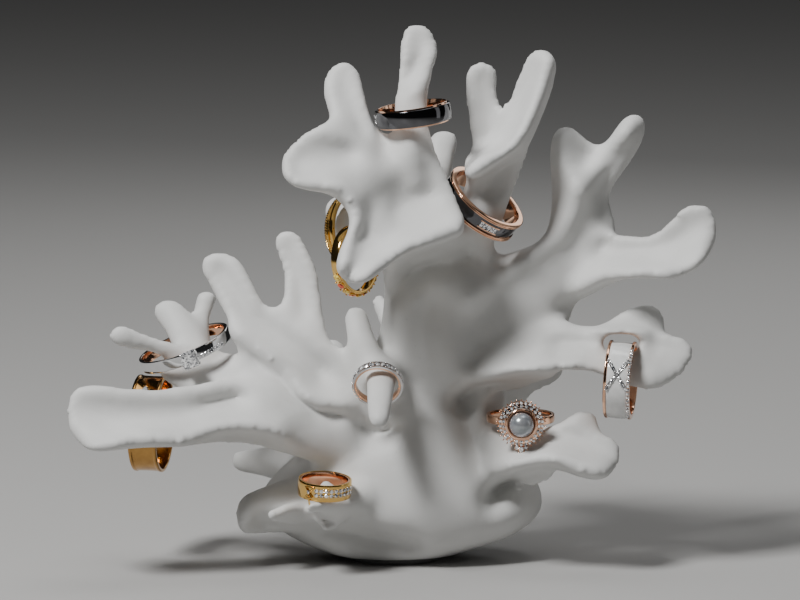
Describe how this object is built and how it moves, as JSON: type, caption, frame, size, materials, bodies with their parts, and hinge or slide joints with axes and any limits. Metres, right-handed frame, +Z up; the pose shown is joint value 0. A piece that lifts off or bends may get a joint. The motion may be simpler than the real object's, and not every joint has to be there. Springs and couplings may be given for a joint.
{
  "type": "ring tree",
  "caption": "Branching coral-shaped stand of matt white porcelain that holds finger rings on its fronds, dressed with gold, silver and stone-set rings.",
  "frame": {"origin": "middle of the oval foot, on the face of the felt pad that meets the table", "axes": "+X across the tree to the right of the front view, -Y toward the front, +Z up"},
  "size_m": [0.1793, 0.0918, 0.1506],
  "materials": {
    "porcelain": "matt white",
    "felt": "felted",
    "gold": "polished yellow gold look",
    "rose_gold": "polished rose gold look",
    "silver": "polished silver look",
    "clear_stone": "cut clear stones",
    "yellow_stone": "cut yellow stones",
    "pearl": "silver grey nacre"
  },
  "bodies": {
    "coral": {"trunk": "porcelain", "right_limb": "porcelain", "top_fan": "porcelain", "top_leaf": "porcelain", "folded_frond": "porcelain", "back_stub": "porcelain", "forked_branch": "porcelain", "hook_branch": "porcelain", "upper_right_fan": "porcelain", "lower_right_fan": "porcelain", "front_stub": "porcelain", "tall_finger": "porcelain", "slim_finger": "porcelain", "left_frond": "porcelain", "left_arm": "porcelain", "left_cluster": "porcelain", "arm_hook": "porcelain", "left_lobes": "porcelain", "front_lobe": "porcelain", "back_top_fan": "porcelain", "back_left_fan": "porcelain", "back_right_fan": "porcelain", "back_low_fan": "porcelain", "hidden_finger": "porcelain", "fan_hook": "porcelain", "fan_peg": "porcelain", "lobe_peg": "porcelain", "back_lobe": "porcelain", "felt_pad": "felt"},
    "two_tone_body": {"two_tone_liner": "rose_gold", "two_tone_band": "silver"},
    "rail_body": {"rail_band": "rose_gold", "rail_inlay": "silver"},
    "solitaire_body": {"solitaire_band": "silver", "solitaire_setting": "silver", "solitaire_stone": "clear_stone", "solitaire_row": "clear_stone"},
    "hoop_body": {"hoop_band": "gold", "hoop_stone": "clear_stone"},
    "crossover_body": {"crossover_ring": "gold"},
    "amber_body": {"amber_band": "gold", "amber_row": "yellow_stone"},
    "eternity_body": {"eternity_band": "rose_gold", "eternity_row": "clear_stone"},
    "claw_body": {"claw_band": "gold", "claw_row": "clear_stone"},
    "pearl_body": {"pearl_band": "rose_gold", "pearl_cup": "rose_gold", "pearl": "pearl", "pearl_halo": "clear_stone"},
    "cross_body": {"cross_band": "rose_gold", "cross_panel": "silver", "cross_strands": "clear_stone"}
  },
  "joints": [
    {"name": "two_tone_lift", "type": "slide", "parent": "coral", "child": "two_tone_body", "axis": [-0.1386, -0.0198, 0.9901], "range_m": [0, 0.0065]},
    {"name": "rail_turn", "type": "hinge", "parent": "coral", "child": "rail_body", "pos_m": [0.02449, -0.00692, 0.10105], "axis": [0.5766, -0.3035, 0.7586], "continuous": true},
    {"name": "solitaire_turn", "type": "hinge", "parent": "coral", "child": "solitaire_body", "pos_m": [-0.05835, -0.00415, 0.0601], "axis": [-0.3592, -0.0998, 0.9279], "range_deg": [-40, 0]},
    {"name": "hoop_swing", "type": "hinge", "parent": "coral", "child": "hoop_body", "pos_m": [-0.06782, -0.00283, 0.04909], "axis": [-0.9851, 0.1709, 0.0201], "range_deg": [-25, 5]},
    {"name": "crossover_swing", "type": "hinge", "parent": "coral", "child": "crossover_body", "pos_m": [-0.01247, -0.01421, 0.10029], "axis": [0.796, -0.597, 0.0995], "range_deg": [-3, 15]},
    {"name": "amber_swing", "type": "hinge", "parent": "coral", "child": "amber_body", "pos_m": [-0.01118, -0.02675, 0.09471], "axis": [0.8102, -0.5773, 0.1013], "range_deg": [-3, 15]},
    {"name": "eternity_pull", "type": "slide", "parent": "coral", "child": "eternity_body", "axis": [-0.0199, -0.8668, -0.4982], "range_m": [0, 0.018]},
    {"name": "claw_lift", "type": "slide", "parent": "coral", "child": "claw_body", "axis": [0, 0, 1], "range_m": [0, 0.01]},
    {"name": "pearl_lift", "type": "slide", "parent": "coral", "child": "pearl_body", "axis": [0, 0, 1], "range_m": [0, 0.004]},
    {"name": "cross_swing", "type": "hinge", "parent": "coral", "child": "cross_body", "pos_m": [0.06335, -0.01685, 0.06038], "axis": [0.9858, -0.1601, -0.05], "range_deg": [0, 12]}
  ]
}
